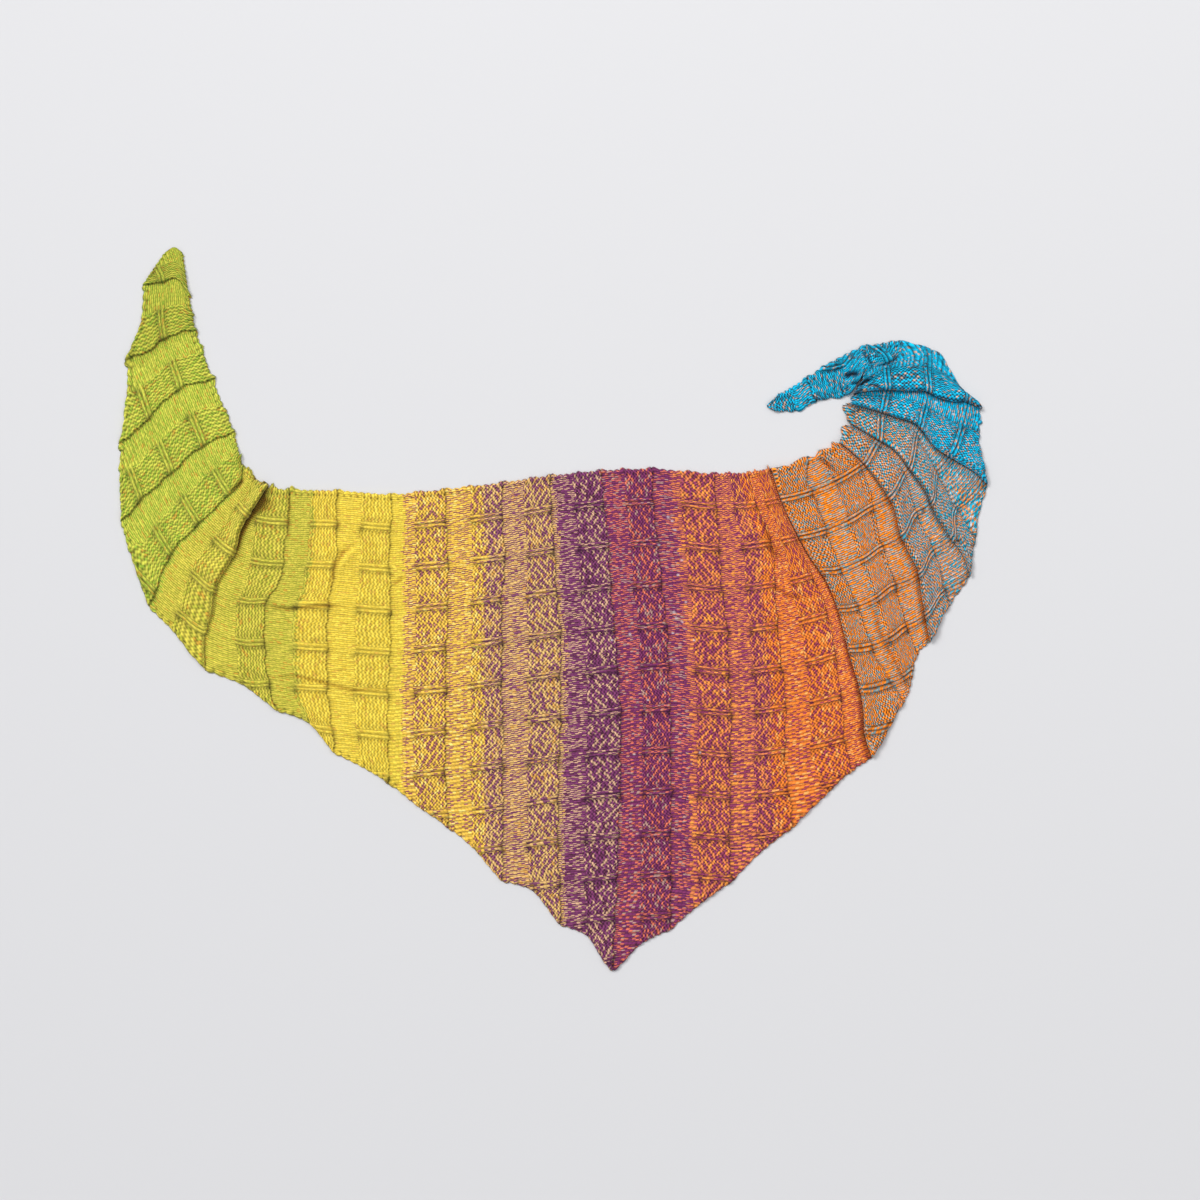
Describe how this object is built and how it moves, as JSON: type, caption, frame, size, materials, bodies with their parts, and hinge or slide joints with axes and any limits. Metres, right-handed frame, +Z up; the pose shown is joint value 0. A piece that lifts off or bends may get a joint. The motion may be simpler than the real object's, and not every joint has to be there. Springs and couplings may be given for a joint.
{
  "type": "knitted shawl",
  "caption": "Hand-knitted crescent shawl with textured purl blocks and colours from lime to plum to blue, laid flat with pleats at both wings and a turned-in tip.",
  "frame": {"origin": "centre of the bounding box, on the table that the shawl lies on", "axes": "+X along the selvedge from the lime wing to the blue tip, +Y away from the point towards the selvedge, +Z up from the table to the right side of the knitting"},
  "size_m": [0.9542, 0.7942, 0.0178],
  "materials": {
    "knit_wing_left_lime": "soft matt wool knit in lime with olive and yellow flecks",
    "knit_field_yellow": "soft matt wool knit, lime shading to golden yellow",
    "knit_field_gold_plum": "marled wool knit of yellow and plum strands, half and half at its right",
    "knit_field_plum": "marled wool knit, plum with straw flecks and then with coral flecks",
    "knit_field_rust": "marled wool knit of plum and orange strands, mostly orange at its right",
    "knit_fan_amber": "marled wool knit of orange with grey-blue strands",
    "knit_fan_slate": "marled wool knit of orange and blue strands, half and half",
    "knit_fan_teal": "marled wool knit of orange and blue strands, half and half",
    "knit_bend_blue": "marled wool knit, cyan blue with grey and orange flecks",
    "knit_tip_blue": "marled wool knit, cyan blue with grey and orange flecks"
  },
  "bodies": {
    "root": {"wing_left_lime": "knit_wing_left_lime", "field_yellow": "knit_field_yellow", "field_gold_plum": "knit_field_gold_plum", "field_plum": "knit_field_plum", "field_rust": "knit_field_rust", "fan_amber": "knit_fan_amber", "fan_slate": "knit_fan_slate", "fan_teal": "knit_fan_teal", "bend_blue": "knit_bend_blue", "tip_blue": "knit_tip_blue"}
  },
  "joints": []
}
